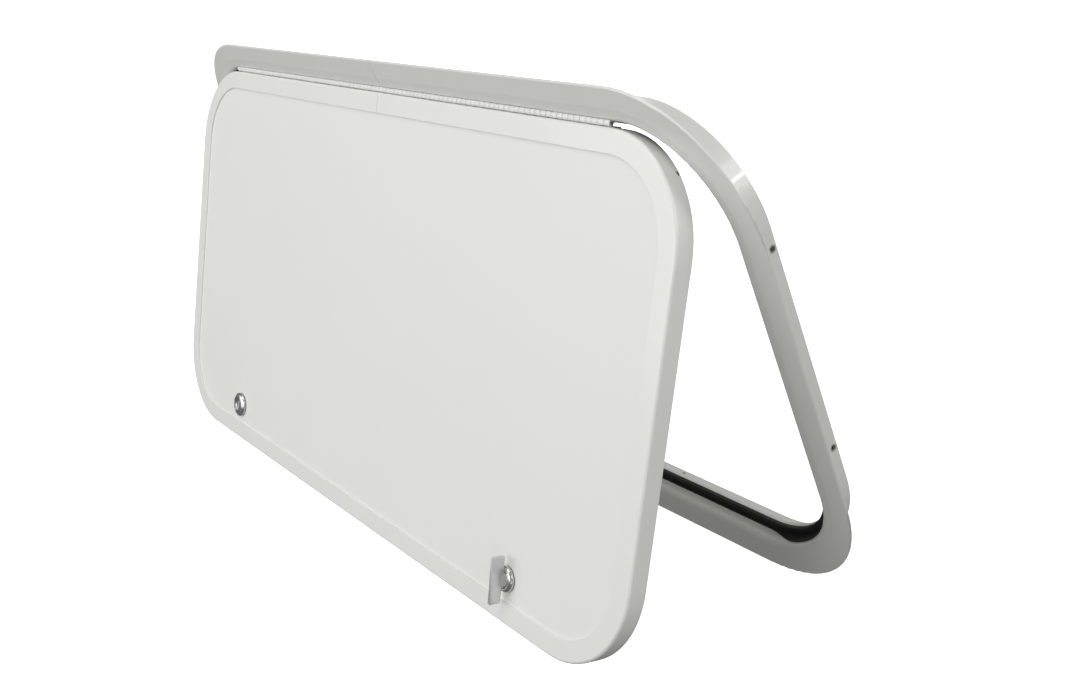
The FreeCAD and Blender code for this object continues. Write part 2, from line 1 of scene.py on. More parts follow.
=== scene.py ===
import json
import math
import bmesh
import bpy
from mathutils import Matrix, Vector


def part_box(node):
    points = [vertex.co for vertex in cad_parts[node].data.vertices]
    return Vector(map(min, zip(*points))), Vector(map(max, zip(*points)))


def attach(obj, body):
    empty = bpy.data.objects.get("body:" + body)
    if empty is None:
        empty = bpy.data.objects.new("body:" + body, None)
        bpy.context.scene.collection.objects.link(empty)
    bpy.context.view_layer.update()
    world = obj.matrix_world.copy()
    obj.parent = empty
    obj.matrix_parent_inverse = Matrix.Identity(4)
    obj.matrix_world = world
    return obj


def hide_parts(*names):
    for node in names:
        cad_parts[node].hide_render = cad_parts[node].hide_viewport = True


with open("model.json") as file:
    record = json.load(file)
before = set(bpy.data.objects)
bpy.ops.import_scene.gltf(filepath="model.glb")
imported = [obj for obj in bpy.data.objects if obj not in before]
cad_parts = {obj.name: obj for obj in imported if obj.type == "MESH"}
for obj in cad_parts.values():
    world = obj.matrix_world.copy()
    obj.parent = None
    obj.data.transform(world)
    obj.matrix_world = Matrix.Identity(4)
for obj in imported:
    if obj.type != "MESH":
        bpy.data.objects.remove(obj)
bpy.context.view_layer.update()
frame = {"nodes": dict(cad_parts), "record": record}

MM = 0.001
RECORD = frame["record"]
JOINTS = {j["name"]: j for j in RECORD["behaviour"]["joints"]}
NODES = frame["nodes"]

# ------------------------------------------------------------------ places, all from the CAD
frame_lo, frame_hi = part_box("frame")
HALF_W = frame_hi.x / MM                 # half the flange's width and height, in mm
HALF_H = frame_hi.z / MM
FRONT_Y = frame_lo.y / MM                # the flange's front face, which is depth 0
FRAME_CORNER = 108.0
DOOR_INSET = 30.2
DOOR_CORNER = 76.0
HINGE = JOINTS["door_hinge"]
PIVOT = Vector(HINGE["pos_m"])
OPEN = math.radians(HINGE["range_deg"][0])          # from shut to rest
SWING = Matrix.Translation(PIVOT) @ Matrix.Rotation(OPEN, 4, "X") @ Matrix.Translation(-PIVOT)
UNSWING = SWING.inverted()
BEND_RISE = 22.0                         # degrees of arc over which a corner's flare grows to its full size
HINGE_DEPTH = PIVOT.y / MM - FRONT_Y
HINGE_Z = PIVOT.z / MM


def lock_place(joint):
    """(x, z) of a lock's axis on the shut door, in mm."""
    p = UNSWING @ Vector(JOINTS[joint]["pos_m"])
    return p.x / MM, p.z / MM


def at(x, depth, z):
    """A point given in mm, with its depth behind the flange's front face, in metres."""
    return Vector((x, depth + FRONT_Y, z)) * MM


# ------------------------------------------------------------------ mesh helpers
def finish_mesh(name, bm, body, slot, replaces=(), door=False, smooth=35.0):
    """Turns a bmesh in shut coordinates into a piece on a body."""
    if door:
        bmesh.ops.transform(bm, matrix=SWING, verts=bm.verts)
    bmesh.ops.recalc_face_normals(bm, faces=bm.faces)
    mesh = bpy.data.meshes.new(name)
    bm.to_mesh(mesh)
    bm.free()
    obj = bpy.data.objects.new(name, mesh)
    bpy.context.scene.collection.objects.link(obj)
    mesh.materials.append(MATERIAL[slot])
    limit = math.cos(math.radians(smooth))
    mesh.polygons.foreach_set("use_smooth", [True] * len(mesh.polygons))
    mesh.update()
    sharp_edges(mesh, limit)
    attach(obj, body)
    if replaces:
        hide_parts(*replaces)
    return obj


def sharp_edges(mesh, limit):
    """Marks the edges whose faces meet at more than the limit's angle."""
    bm = bmesh.new()
    bm.from_mesh(mesh)
    for edge in bm.edges:
        if len(edge.link_faces) == 2:
            a, b = edge.link_faces
            edge.smooth = a.normal.dot(b.normal) > limit
        else:
            edge.smooth = False
    bm.to_mesh(mesh)
    bm.free()


def loop_points(inset, half_w, half_h, corner, per_arc, per_side):
    """(x, z, bend) points round a rounded rectangle, the same number for every inset.

    bend is 0 on the straight sides and rises to 1 well inside a corner."""
    points = []
    r = corner - inset

    def straight(start, end):
        for k in range(1, per_side):
            t = k / per_side
            points.append((start[0] + (end[0] - start[0]) * t, start[1] + (end[1] - start[1]) * t, 0.0))

    for quarter in range(4):
        sx = (1, -1, -1, 1)[quarter]
        sz = (1, 1, -1, -1)[quarter]
        cx = sx * (half_w - corner)
        cz = sz * (half_h - corner)
        arc = []
        for k in range(per_arc + 1):
            angle = math.radians(90 * quarter + 90 * k / per_arc)
            into = min(k, per_arc - k) * 90.0 / per_arc
            bend = min(1.0, into / BEND_RISE)
            arc.append((cx + r * math.cos(angle), cz + r * math.sin(angle), bend * bend * (3 - 2 * bend)))
        if points:
            straight(points[-1], arc[0])
        points.extend(arc)
    straight(points[-1], points[0])
    return points


def sweep(bm, section, half_w, half_h, corner, per_arc, per_side):
    """Sweeps a closed section round a rounded rectangle.

    Each point is (inset, depth, flare); flare is how far it comes forward in the corners."""
    rows = []
    for inset, depth, flare in section:
        ring = []
        for x, z, bend in loop_points(inset, half_w, half_h, corner, per_arc, per_side):
            ring.append(bm.verts.new(at(x, depth - flare * bend, z)))
        rows.append(ring)
    for a in range(len(rows)):
        b = (a + 1) % len(rows)
        n = len(rows[a])
        for k in range(n):
            bm.faces.new((rows[a][k], rows[a][(k + 1) % n], rows[b][(k + 1) % n], rows[b][k]))


def lathe(bm, profile, x, z, segments=72, closed=True):
    """Turns (radius, depth) points round an axis that runs through (x, z) into the door."""
    rings = []
    for r, d in profile:
        if r < 1e-6:
            rings.append([bm.verts.new(at(x, d, z))])
            continue
        ring = []
        for k in range(segments):
            a = 2 * math.pi * k / segments
            ring.append(bm.verts.new(at(x + r * math.cos(a), d, z + r * math.sin(a))))
        rings.append(ring)
    pairs = list(zip(rings, rings[1:]))
    if closed:
        pairs.append((rings[-1], rings[0]))
    for a, b in pairs:
        for k in range(segments):
            j = (k + 1) % segments
            quad = [a[k % len(a)], a[j % len(a)], b[j % len(b)], b[k % len(b)]]
            face = []
            for v in quad:
                if v not in face:
                    face.append(v)
            if len(face) > 2:
                bm.faces.new(face)


def threaded(bm, x, z, d0, d1, radius, bore, pitch, cut, flat, segments=96):
    """A bored barrel with a helical thread and two flats."""
    steps = int((d1 - d0) / (pitch / 6))
    rings = []
    for s in range(steps + 1):
        d = d0 + (d1 - d0) * s / steps
        ring = []
        for k in range(segments):
            a = 2 * math.pi * k / segments
            phase = (d / pitch - k / segments) % 1.0
            groove = cut * (1 - abs(2 * phase - 1))
            r = radius - groove
            if s == steps:
                r = radius - cut
            px = max(-flat, min(flat, r * math.cos(a)))
            ring.append(bm.verts.new(at(x + px, d, z + r * math.sin(a))))
        rings.append(ring)
    for d in (d1, d0):
        ring = []
        for k in range(segments):
            a = 2 * math.pi * k / segments
            ring.append(bm.verts.new(at(x + bore * math.cos(a), d, z + bore * math.sin(a))))
        rings.append(ring)
    rings.append(rings[0])
    for a, b in zip(rings, rings[1:]):
        for k in range(segments):
            j = (k + 1) % segments
            bm.faces.new((a[k], a[j], b[j], b[k]))


def prism(bm, outline, place, half, bevel, segments=2):
    """Extrudes an outline of 2D points by half each way and rounds both rims."""
    low = [bm.verts.new(place(u, v, -half)) for u, v in outline]
    high = [bm.verts.new(place(u, v, half)) for u, v in outline]
    n = len(outline)
    caps = [bm.faces.new(low), bm.faces.new(list(reversed(high)))]
    for k in range(n):
        j = (k + 1) % n
        bm.faces.new((low[k], high[k], high[j], low[j]))
    rims = {e for f in caps for e in f.edges}
    if bevel:
        bmesh.ops.bevel(bm, geom=list(rims), offset=bevel * MM, segments=segments, profile=0.6, affect="EDGES")


def rounded_outline(u0, u1, v0, v1, radius, steps=5):
    """A rectangle of 2D points with rounded corners."""
    points = []
    for q, (cu, cv) in enumerate(((u1 - radius, v1 - radius), (u0 + radius, v1 - radius),
                                  (u0 + radius, v0 + radius), (u1 - radius, v0 + radius))):
        for k in range(steps + 1):
            a = math.radians(90 * q + 90 * k / steps)
            points.append((cu + radius * math.cos(a), cv + radius * math.sin(a)))
    return points


def cut_with(obj, cutter):
    """Takes the cutter's shape out of a piece and removes the cutter."""
    mod = obj.modifiers.new("cut", "BOOLEAN")
    mod.object = cutter
    mod.solver = "EXACT"
    graph = bpy.context.evaluated_depsgraph_get()
    mesh = bpy.data.meshes.new_from_object(obj.evaluated_get(graph))
    obj.modifiers.remove(mod)
    obj.data = mesh
    bpy.data.objects.remove(cutter)


def raw_object(name, bm):
    """A door cutter, given in shut coordinates; it isn't a piece."""
    bmesh.ops.transform(bm, matrix=SWING, verts=bm.verts)
    bmesh.ops.recalc_face_normals(bm, faces=bm.faces)
    mesh = bpy.data.meshes.new(name)
    bm.to_mesh(mesh)
    bm.free()
    obj = bpy.data.objects.new(name, mesh)
    bpy.context.scene.collection.objects.link(obj)
    return obj


# ------------------------------------------------------------------ materials
class Nodes:
    """Short calls for building one material's node tree."""

    def __init__(self, name):
        self.material = bpy.data.materials.new(name)
        self.material.use_nodes = True
        self.tree = self.material.node_tree
        self.bsdf = self.tree.nodes["Principled BSDF"]

    def new(self, kind, **values):
        node = self.tree.nodes.new(kind)
        for key, value in values.items():
            setattr(node, key, value)
        return node

    def link(self, a, b):
        self.tree.links.new(a, b)

    def feed(self, socket, value):
        if isinstance(value, bpy.types.NodeSocket):
            self.link(value, socket)
        else:
            socket.default_value = value

    def coords(self):
        return self.new("ShaderNodeTexCoord").outputs["Object"]

    def stretched(self, vector, scale):
        node = self.new("ShaderNodeMapping")
        node.inputs["Scale"].default_value = scale
        self.link(vector, node.inputs["Vector"])
        return node.outputs["Vector"]

    def noise(self, vector, scale, detail=2.0, rough=0.5, distortion=0.0):
        node = self.new("ShaderNodeTexNoise")
        node.inputs["Scale"].default_value = scale
        node.inputs["Detail"].default_value = detail
        node.inputs["Roughness"].default_value = rough
        node.inputs["Distortion"].default_value = distortion
        self.link(vector, node.inputs["Vector"])
        return node.outputs["Fac"]

    def remap(self, value, a, b, c, d):
        node = self.new("ShaderNodeMapRange")
        node.clamp = True
        self.feed(node.inputs["Value"], value)
        for key, v in (("From Min", a), ("From Max", b), ("To Min", c), ("To Max", d)):
            node.inputs[key].default_value = v
        return node.outputs["Result"]

    def math(self, op, a, b=0.0):
        node = self.new("ShaderNodeMath", operation=op)
        self.feed(node.inputs[0], a)
        self.feed(node.inputs[1], b)
        return node.outputs[0]

    def mix(self, fac, a, b, mode="MIX"):
        node = self.new("ShaderNodeMix", data_type="RGBA", blend_type=mode)
        self.feed(node.inputs["Factor"], fac)
        for socket, value in ((node.inputs[6], a), (node.inputs[7], b)):
            if isinstance(value, bpy.types.NodeSocket):
                self.link(value, socket)
            else:
                socket.default_value = (*value, 1.0)
        return node.outputs[2]

    def bump(self, height, strength, distance, normal=None):
        node = self.new("ShaderNodeBump")
        node.inputs["Strength"].default_value = strength
        node.inputs["Distance"].default_value = distance
        self.link(height, node.inputs["Height"])
        if normal is not None:
            self.link(normal, node.inputs["Normal"])
        return node.outputs["Normal"]

    def door_coords(self, vector):
        """Coordinates as if the door were shut."""
        a = self.new("ShaderNodeVectorMath", operation="SUBTRACT")
        a.inputs[1].default_value = PIVOT
        self.link(vector, a.inputs[0])
        r = self.new("ShaderNodeVectorRotate", rotation_type="X_AXIS")
        r.inputs["Angle"].default_value = -OPEN
        self.link(a.outputs[0], r.inputs["Vector"])
        b = self.new("ShaderNodeVectorMath", operation="ADD")
        b.inputs[1].default_value = PIVOT
        self.link(r.outputs[0], b.inputs[0])
        return b.outputs[0]


def paint(name, colour, warm, rough, peel, holes=()):
    """Satin white powder coat: orange peel, slow tone drift, fine dust, and painted shade round any drilled
    holes.
    """
    n = Nodes(name)
    obj = n.coords()
    drift = n.noise(obj, 5.0, 3.0, 0.5, 0.4)
    base = n.mix(n.remap(drift, 0.35, 0.65, 0.0, 1.0), colour, warm)
    dust = n.noise(obj, 420.0, 3.0, 0.65)
    base = n.mix(n.remap(dust, 0.62, 0.80, 0.0, 0.10), base, (0.55, 0.54, 0.50))
    scuff = n.noise(n.stretched(obj, (18.0, 160.0, 160.0)), 1.0, 4.0, 0.6, 0.6)
    marks = n.remap(scuff, 0.64, 0.78, 0.0, 0.05)
    base = n.mix(marks, base, (0.62, 0.61, 0.58))
    # painted shade: round each hole the colour goes 0.75 of the way to dark grey out to 2.2 mm, then fades out
    # by 3.6 mm, standing in for the shade inside the hole
    for hole in holes:
        gap = n.new("ShaderNodeVectorMath", operation="DISTANCE")
        n.link(obj, gap.inputs[0])
        gap.inputs[1].default_value = hole
        base = n.mix(n.remap(gap.outputs["Value"], 0.0022, 0.0036, 0.75, 0.0), base, (0.16, 0.16, 0.15))
    n.link(base, n.bsdf.inputs["Base Color"])
    r = n.remap(n.noise(obj, 60.0, 4.0, 0.6), 0.3, 0.7, rough - 0.05, rough + 0.06)
    r = n.math("ADD", r, n.math("MULTIPLY", marks, 0.6))
    n.link(r, n.bsdf.inputs["Roughness"])
    n.bsdf.inputs["IOR"].default_value = 1.48
    n.bsdf.inputs["Coat Weight"].default_value = 0.25
    n.bsdf.inputs["Coat Roughness"].default_value = 0.10
    fine = n.noise(obj, 950.0, 2.0, 0.5)
    wide = n.noise(obj, 240.0, 2.0, 0.5)
    normal = n.bump(wide, peel * 0.6, 0.00020)
    normal = n.bump(fine, peel, 0.00008, normal)
    n.link(normal, n.bsdf.inputs["Normal"])
    return n.material


def gelcoat(name):
    """Smooth glass-fibre sheet: slow waviness, print-through of the fibres, faint handling smudges."""
    n = Nodes(name)
    obj = n.coords()
    door = n.door_coords(obj)
    drift = n.noise(door, 3.2, 2.0, 0.5, 0.3)
    base = n.mix(n.remap(drift, 0.3, 0.7, 0.0, 1.0), (0.832, 0.838, 0.796), (0.844, 0.849, 0.808))
    dust = n.noise(door, 520.0, 3.0, 0.6)
    base = n.mix(n.remap(dust, 0.66, 0.82, 0.0, 0.08), base, (0.60, 0.59, 0.55))
    # handling smudges round the two locks
    smudge = n.noise(n.stretched(door, (60.0, 60.0, 22.0)), 1.0, 4.0, 0.65, 1.2)
    near = None
    for joint in ("key_turn", "thumb_turn"):
        x, z = lock_place(joint)
        d = n.new("ShaderNodeVectorMath", operation="DISTANCE")
        n.link(door, d.inputs[0])
        d.inputs[1].default_value = at(x, -2.0, z)
        m = n.remap(d.outputs["Value"], 0.012, 0.060, 1.0, 0.0)
        near = m if near is None else n.math("MAXIMUM", near, m)
    touch = n.math("MULTIPLY", near, n.remap(smudge, 0.45, 0.70, 0.0, 1.0))
    base = n.mix(n.math("MULTIPLY", touch, 0.07), base, (0.66, 0.66, 0.62))
    n.link(base, n.bsdf.inputs["Base Color"])
    r = n.remap(n.noise(door, 24.0, 4.0, 0.6), 0.3, 0.7, 0.40, 0.48)
    r = n.math("ADD", r, n.math("MULTIPLY", touch, 0.12))
    n.link(r, n.bsdf.inputs["Roughness"])
    n.bsdf.inputs["IOR"].default_value = 1.5
    weave = n.noise(n.stretched(door, (1.0, 1.0, 1.35)), 330.0, 3.0, 0.55, 0.8)
    wave = n.noise(door, 9.0, 1.0, 0.4)
    normal = n.bump(wave, 0.15, 0.0010)
    normal = n.bump(weave, 0.05, 0.00010, normal)
    n.link(normal, n.bsdf.inputs["Normal"])
    return n.material


def rubber(name, colour, rough, cell):
    """Black closed-cell foam rubber: pinhole skin, greyish dust in the dips."""
    n = Nodes(name)
    obj = n.coords()
    pore = n.new("ShaderNodeTexVoronoi")
    pore.inputs["Scale"].default_value = cell
    n.link(obj, pore.inputs["Vector"])
    skin = n.noise(obj, 55.0, 5.0, 0.65)
    tone = n.remap(skin, 0.35, 0.70, 0.0, 1.0)
    dark = tuple(c * 0.55 for c in colour)
    base = n.mix(tone, dark, colour)
    bloom = n.noise(obj, 700.0, 2.0, 0.5)
    base = n.mix(n.remap(bloom, 0.62, 0.80, 0.0, 0.25), base, (0.075, 0.075, 0.072))
    n.link(base, n.bsdf.inputs["Base Color"])
    n.link(n.remap(skin, 0.3, 0.7, rough - 0.10, rough + 0.08), n.bsdf.inputs["Roughness"])
    n.bsdf.inputs["Specular IOR Level"].default_value = 0.35
    normal = n.bump(pore.outputs["Distance"], 0.35, 0.00015)
    normal = n.bump(skin, 0.25, 0.0004, normal)
    n.link(normal, n.bsdf.inputs["Normal"])
    return n.material


def metal(name, colour, dark, rough, grain=None, grain_depth=0.10, spots=0.0):
    """Plated or plain metal: micro-scratches, uneven polish, light tarnish.

    grain is a stretch for brushed finishes."""
    n = Nodes(name)
    obj = n.coords()
    cloud = n.noise(obj, 70.0, 4.0, 0.6, 0.5)
    base = n.mix(n.remap(cloud, 0.35, 0.70, 0.0, 1.0), colour, dark)
    if spots:
        pit = n.noise(obj, 900.0, 3.0, 0.7)
        base = n.mix(n.remap(pit, 0.62, 0.76, 0.0, spots), base, tuple(c * 0.45 for c in dark))
    n.link(base, n.bsdf.inputs["Base Color"])
    n.bsdf.inputs["Metallic"].default_value = 1.0
    line = n.noise(n.stretched(obj, grain or (500.0, 500.0, 500.0)), 1.0, 3.0, 0.6)
    wear = n.math("ADD", n.math("MULTIPLY", cloud, 0.6), n.math("MULTIPLY", line, 0.4))
    r = n.remap(wear, 0.35, 0.65, rough * 0.75, rough * 1.35)
    n.link(r, n.bsdf.inputs["Roughness"])
    normal = n.bump(line, grain_depth, 0.00005)
    n.link(normal, n.bsdf.inputs["Normal"])
    return n.material


def foam_board(name):
    """Rigid yellowish foam with open cells."""
    n = Nodes(name)
    obj = n.coords()
    cell = n.new("ShaderNodeTexVoronoi")
    cell.inputs["Scale"].default_value = 900.0
    n.link(obj, cell.inputs["Vector"])
    base = n.mix(n.remap(n.noise(obj, 40.0, 4.0), 0.3, 0.7, 0.0, 1.0), (0.86, 0.80, 0.60), (0.92, 0.88, 0.72))
    n.link(base, n.bsdf.inputs["Base Color"])
    n.link(n.remap(cell.outputs["Distance"], 0.0, 1.0, 0.75, 0.95), n.bsdf.inputs["Roughness"])
    n.link(n.bump(cell.outputs["Distance"], 0.6, 0.0004), n.bsdf.inputs["Normal"])
    return n.material


LEG_INSET = 22.0                         # the frame leg's outer face
HOLE_DEPTH = 24.0
SIDE_HOLES_Z = (93.0, -77.0)
TOP_HOLES_X = (-180.0, 180.0)
# centres of the leg's screw holes; the frame paint has painted shade round each of them
SCREW_HOLES = [at(side * (HALF_W - LEG_INSET), HOLE_DEPTH, z) for side in (-1, 1) for z in SIDE_HOLES_Z]
SCREW_HOLES += [at(x, HOLE_DEPTH, side * (HALF_H - LEG_INSET)) for side in (-1, 1) for x in TOP_HOLES_X]
MATERIAL = {
    "frame_paint": paint(
        "frame_paint", (0.760, 0.764, 0.732), (0.774, 0.776, 0.746), 0.36, 0.10, SCREW_HOLES),
    "door_paint": paint("door_paint", (0.835, 0.840, 0.808), (0.848, 0.850, 0.820), 0.36, 0.09),
    "hinge_paint": paint("hinge_paint", (0.860, 0.860, 0.835), (0.875, 0.872, 0.850), 0.30, 0.06),
    "door_skin": gelcoat("door_skin"),
    "seal_rubber": rubber("seal_rubber", (0.016, 0.016, 0.016), 0.62, 1500.0),
    "gasket_rubber": rubber("gasket_rubber", (0.022, 0.022, 0.022), 0.70, 2500.0),
    "core_foam": foam_board("core_foam"),
    "lock_chrome": metal("lock_chrome", (0.68, 0.68, 0.67), (0.58, 0.58, 0.57), 0.25, spots=0.35),
    "fin_steel": metal(
        "fin_steel", (0.80, 0.80, 0.80), (0.72, 0.72, 0.73), 0.42,
        grain=(900.0, 900.0, 60.0), grain_depth=0.18),
    "zinc_steel": metal("zinc_steel", (0.66, 0.67, 0.69), (0.55, 0.57, 0.60), 0.28, spots=0.30),
    "tumbler_brass": metal("tumbler_brass", (0.74, 0.58, 0.28), (0.62, 0.46, 0.22), 0.30, spots=0.20),
    "rivet_aluminium": metal("rivet_aluminium", (0.78, 0.78, 0.79), (0.68, 0.68, 0.70), 0.36, spots=0.20),
}
for part in RECORD["subparts"]:
    node = NODES[part["node"]]
    node.data.materials.clear()
    node.data.materials.append(MATERIAL[part["material_slot"]])


# ------------------------------------------------------------------ pieces
def build_seal():
    """A foam bulb and skirt stuck in the corner of reveal and ledge."""
    bm = bmesh.new()
    lip = 6.0                    # the skirt's lip comes this much forward in the corners
    section = [
        (28.02, 16.18, 0), (28.02, 13.6, 0), (28.02, 11.5, lip * 0.9), (28.03, 10.9, lip),
        (28.20, 10.56, lip), (28.50, 10.50, lip), (28.78, 10.66, lip), (28.88, 11.1, lip),
        (28.89, 12.0, lip * 0.7), (28.93, 12.5, lip * 0.1), (29.10, 12.72, 0), (29.5, 12.68, 0),
        (30.3, 12.62, 0), (31.6, 12.61, 0), (33.0, 12.61, 0), (34.2, 12.62, 0), (34.70, 12.70, 0),
        (34.92, 12.98, 0), (34.96, 13.6, 0), (34.94, 15.4, 0), (34.80, 16.0, 0), (34.4, 16.18, 0),
        (31.0, 16.18, 0),
    ]
    sweep(bm, section, HALF_W, HALF_H, FRAME_CORNER, per_arc=36, per_side=60)
    return finish_mesh("seal_bulb", bm, "frame", "seal_rubber", ("frame_seal",), smooth=50)


KNUCKLE_PITCH = 6.38
KNUCKLE_COUNT = 94
KNUCKLE_GAP = 0.50
KNUCKLE_RADIUS = 2.3
KNUCKLE_BORE = 1.25
KNUCKLE_ROUNDING = 0.48
HINGE_START_X = -305.0
SLOT_HALF_ANGLE = math.radians(5.0)
SHEET_THICKNESS = 0.88
SHEET_DEPTHS = (3.9, 10.2)               # where the flat part of both sheets starts and ends
WEB_END = 4.6                            # depth to which each knuckle's tail runs into the sheet


def knuckle_outline(slot_angle):
    """Ring section with a narrow slot where the rolled sheet closes on itself."""
    outer, inner = [], []
    steps = 34
    for k in range(steps + 1):
        a = slot_angle + SLOT_HALF_ANGLE + (2 * math.pi - 2 * SLOT_HALF_ANGLE) * k / steps
        for side, radius in ((outer, KNUCKLE_RADIUS), (inner, KNUCKLE_BORE)):
            side.append((HINGE_DEPTH + radius * math.cos(a), HINGE_Z + radius * math.sin(a)))
    return outer + list(reversed(inner))


def build_hinge_half(name, node, first, body, door):
    """The rolled knuckles and the sheet of one half of the piano hinge."""
    sheet_top = (HALF_H - DOOR_INSET + 0.9) if door else (HALF_H - 28.0)
    slot_angle = math.radians(-62 if door else -75)
    bm = bmesh.new()
    ring = knuckle_outline(slot_angle)
    half = (KNUCKLE_PITCH - KNUCKLE_GAP) / 2
    web_start = HINGE_DEPTH + 1.5
    web_low, web_high = sheet_top - SHEET_THICKNESS, sheet_top - 0.02
    web = [(web_start, web_low), (WEB_END, web_low), (WEB_END, web_high), (web_start, web_high)]
    for index in range(first, KNUCKLE_COUNT, 2):
        x0 = HINGE_START_X + index * KNUCKLE_PITCH + KNUCKLE_GAP / 2
        cx = x0 + half

        def place(u, v, w):
            return at(cx + w, u, v)

        prism(bm, ring, place, half, KNUCKLE_ROUNDING, 3)
        prism(bm, web, place, half, 0.08, 1)
    length = KNUCKLE_PITCH * KNUCKLE_COUNT
    middle = HINGE_START_X + length / 2

    def whole(u, v, w):
        return at(middle + w, u, v)

    sheet = rounded_outline(*SHEET_DEPTHS, sheet_top - 0.89, sheet_top - 0.01, 0.25, 3)
    prism(bm, sheet, whole, length / 2, 0.15, 1)
    return finish_mesh(name, bm, body, "hinge_paint", (node,), door=door, smooth=40)


BARREL_RADIUS = 8.0
BARREL_BORE = 6.06
BARREL_FLAT = 7.3
BARREL_END = 17.8
PLUG_RADIUS = 6.0
THREAD_PITCH, THREAD_DEPTH = 1.5, 0.42
RECESS_RADIUS, PROFILE_RADIUS = 7.2, 10.3        # the head profile's recess and rim
KEY_HEAD_RADIUS = 12.2
LATCH_HEAD_RADIUS = 10.3
SHANK_HALF, SHANK_MIDDLE, SHANK_HALF_LENGTH = 3.5, 20.35, 2.55
HEAD_PROFILE = [
    (8.02, -2.22), (10.05, -2.22), (10.25, -2.36), (10.30, -2.62), (10.30, -3.20), (10.24, -3.62),
    (10.05, -4.12), (9.74, -4.60), (9.34, -5.02), (8.88, -5.38), (8.38, -5.64), (7.92, -5.77),
    (7.60, -5.80), (7.36, -5.74), (7.22, -5.56), (7.20, -5.20), (7.20, -4.84), (7.10, -4.66),
    (6.90, -4.60), (6.40, -4.60), (6.18, -4.56), (6.08, -4.40), (6.06, -3.60), (6.06, -2.22),
]


def build_lock_head(name, joint, node, radius):
    """Domed head with a stepped recess and a threaded barrel with two flats."""
    x, z = lock_place(joint)
    bm = bmesh.new()
    stretch = (radius - RECESS_RADIUS) / (PROFILE_RADIUS - RECESS_RADIUS)
    profile = []
    for r, depth in HEAD_PROFILE:
        if r > BARREL_RADIUS + 0.03:
            r = RECESS_RADIUS + (r - RECESS_RADIUS) * stretch
        profile.append((r, depth))
    lathe(bm, profile, x, z, 96)
    threaded(bm, x, z, -2.2, BARREL_END, BARREL_RADIUS, BARREL_BORE, THREAD_PITCH, THREAD_DEPTH, BARREL_FLAT)
    return finish_mesh(name, bm, "door", "lock_chrome", (node,), door=True, smooth=32)


def spindle_back(bm, x, z):
    """Square shank that carries the cam, with broken corners."""
    def place(u, v, w):
        return at(x + u, SHANK_MIDDLE + w, z + v)

    outline = rounded_outline(-SHANK_HALF, SHANK_HALF, -SHANK_HALF, SHANK_HALF, 0.5, 3)
    prism(bm, outline, place, SHANK_HALF_LENGTH, 0.12, 1)


def build_key_plug():
    """Face of the key cylinder: raised rim, dished middle and a bevelled keyway."""
    x, z = lock_place("key_turn")
    bm = bmesh.new()
    lathe(bm, [
        (0.0, -4.62), (2.6, -4.64), (4.3, -4.70), (4.75, -4.80), (4.95, -4.96), (5.25, -5.00), (5.62, -4.98),
        (5.88, -4.86), (PLUG_RADIUS, -4.62), (PLUG_RADIUS, 2.0), (PLUG_RADIUS, BARREL_END), (4.0, BARREL_END),
        (0.0, BARREL_END),
    ], x, z, 96, closed=False)
    spindle_back(bm, x, z)
    plug = finish_mesh("key_plug", bm, "key_turn", "lock_chrome", ("key_lock_plug",), door=True, smooth=32)
    cutter = bmesh.new()

    def place(u, v, w):
        return at(x + u, 0.2 + w, z + v)

    prism(cutter, rounded_outline(-0.72, 0.72, -3.6, 3.6, 0.5, 4), place, 6.4, 0)
    cut_with(plug, raw_object("cut_keyway", cutter))
    bevel = bmesh.new()

    def sloped(u, v, w):
        grow = 1.0 + 0.55 * max(0.0, -w) / 0.5
        return at(x + u * grow, -4.62 + w, z + v * (1 + (grow - 1) * 0.2))

    prism(bevel, rounded_outline(-0.74, 0.74, -3.62, 3.62, 0.5, 4), sloped, 0.4, 0)
    cut_with(plug, raw_object("cut_bevel", bevel))
    shutter = bmesh.new()

    def inside(u, v, w):
        return at(x + u, -3.9 + w, z + v)

    prism(shutter, rounded_outline(-0.66, 0.66, -3.5, 3.5, 0.4, 3), inside, 0.2, 0.08, 1)
    finish_mesh("key_shutter", shutter, "key_turn", "zinc_steel", (), door=True)


def fin_outline():
    """(depth, z) outline of the thumb fin and the tang that joins it to the spindle."""
    top_front, bottom_front, back, half = -17.5, -15.9, -6.3, 18.6
    corner, tang = 1.2, 5.4
    points = []

    def arc(cu, cv, r, a0, a1, steps=6):
        for k in range(steps + 1):
            a = math.radians(a0 + (a1 - a0) * k / steps)
            points.append((cu + r * math.cos(a), cv + r * math.sin(a)))

    arc(top_front + corner, half - corner, corner, 180, 90)
    arc(back - 0.9, half - 0.9, 0.9, 90, 0)
    arc(back + 0.7, tang + 0.7, 0.7, 180, 270, 4)
    points.append((-4.4, tang))
    points.append((-4.4, -tang))
    arc(back + 0.7, -tang - 0.7, 0.7, 90, 180, 4)
    arc(back - 0.9, -half + 0.9, 0.9, 0, -90)
    arc(bottom_front + corner, -half + corner, corner, 270, 180)
    return points


def build_thumb_turn():
    """Spindle, and a flat fin pressed into a slot across its face."""
    x, z = lock_place("thumb_turn")
    bm = bmesh.new()
    lathe(bm, [
        (0.0, -4.86), (2.0, -4.90), (4.4, -4.98), (5.0, -5.00), (5.55, -4.94), (5.86, -4.76),
        (PLUG_RADIUS, -4.50), (PLUG_RADIUS, 2.0), (PLUG_RADIUS, BARREL_END), (4.0, BARREL_END),
        (0.0, BARREL_END),
    ], x, z, 96, closed=False)
    spindle_back(bm, x, z)
    finish_mesh("thumb_spindle", bm, "thumb_turn", "lock_chrome", ("thumb_turn",), door=True, smooth=32)
    bm = bmesh.new()

    def place(u, v, w):
        return at(x + w, u, z + v)

    prism(bm, fin_outline(), place, 1.0, 0.32, 3)
    finish_mesh("thumb_fin", bm, "thumb_turn", "fin_steel", (), door=True, smooth=40)


